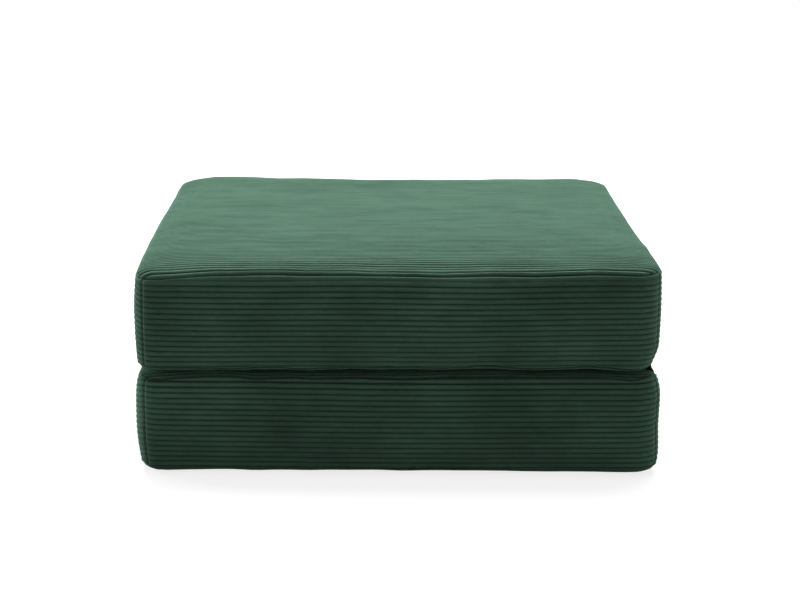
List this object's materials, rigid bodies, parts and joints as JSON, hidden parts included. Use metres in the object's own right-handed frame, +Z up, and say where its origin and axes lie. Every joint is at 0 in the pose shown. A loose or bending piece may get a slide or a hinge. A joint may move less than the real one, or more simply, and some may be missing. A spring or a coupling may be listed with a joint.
{
  "type": "chair bed",
  "caption": "Folding foam chair bed: crowned foam slabs in wide-wale corduroy covers, stacked on each other and joined by a fabric hinge along a short side, with zips along the rear.",
  "frame": {"origin": "centre of the lower slab's flat underside, on the floor", "axes": "+Z up, +X along the slabs towards the folded side with the hinge strip, +Y to the rear with the zips, so the front faces -Y"},
  "size_m": [0.9996, 0.8983, 0.3999],
  "materials": {
    "corduroy": "matte",
    "foam": "matte",
    "wadding": "matte",
    "zip_tape": "matte",
    "zip_coil": "satin",
    "zip_metal": "satin"
  },
  "bodies": {
    "lower_slab": {"lower_foam_core": "foam", "lower_outer_wadding": "wadding", "lower_inner_wadding": "wadding", "lower_outer_panel": "corduroy", "lower_inner_panel": "corduroy", "lower_front_panel": "corduroy", "lower_right_panel": "corduroy", "lower_left_panel": "corduroy", "lower_rear_outer_panel": "corduroy", "lower_rear_inner_panel": "corduroy", "lower_zip_outer_tape": "zip_tape", "lower_zip_inner_tape": "zip_tape", "lower_zip_outer_coil": "zip_coil", "lower_zip_inner_coil": "zip_coil", "lower_zip_stops": "zip_metal", "hinge_strip": "corduroy"},
    "upper_slab": {"upper_foam_core": "foam", "upper_outer_wadding": "wadding", "upper_inner_wadding": "wadding", "upper_outer_panel": "corduroy", "upper_inner_panel": "corduroy", "upper_front_panel": "corduroy", "upper_right_panel": "corduroy", "upper_left_panel": "corduroy", "upper_rear_outer_panel": "corduroy", "upper_rear_inner_panel": "corduroy", "upper_zip_outer_tape": "zip_tape", "upper_zip_inner_tape": "zip_tape", "upper_zip_outer_coil": "zip_coil", "upper_zip_inner_coil": "zip_coil", "upper_zip_stops": "zip_metal"},
    "lower_slider": {"lower_zip_slider": "zip_metal"},
    "lower_pull": {"lower_zip_pull": "zip_metal"},
    "upper_slider": {"upper_zip_slider": "zip_metal"},
    "upper_pull": {"upper_zip_pull": "zip_metal"}
  },
  "joints": [
    {"name": "fold_hinge", "type": "hinge", "parent": "lower_slab", "child": "upper_slab", "pos_m": [0.50015, 0, 0.2], "axis": [0, 1, 0], "range_deg": [0, 180], "deforming": ["hinge_strip"]},
    {"name": "lower_zip_slide", "type": "slide", "parent": "lower_slab", "child": "lower_slider", "axis": [1, 0, 0], "range_m": [0, 0.782]},
    {"name": "lower_pull_swing", "type": "hinge", "parent": "lower_slider", "child": "lower_pull", "pos_m": [-0.391, 0.44649, 0.10193], "axis": [0, 0, 1], "range_deg": [0, 165]},
    {"name": "upper_zip_slide", "type": "slide", "parent": "upper_slab", "child": "upper_slider", "axis": [1, 0, 0], "range_m": [0, 0.782]},
    {"name": "upper_pull_swing", "type": "hinge", "parent": "upper_slider", "child": "upper_pull", "pos_m": [-0.391, 0.44649, 0.29807], "axis": [0, 0, 1], "range_deg": [0, 165]}
  ]
}
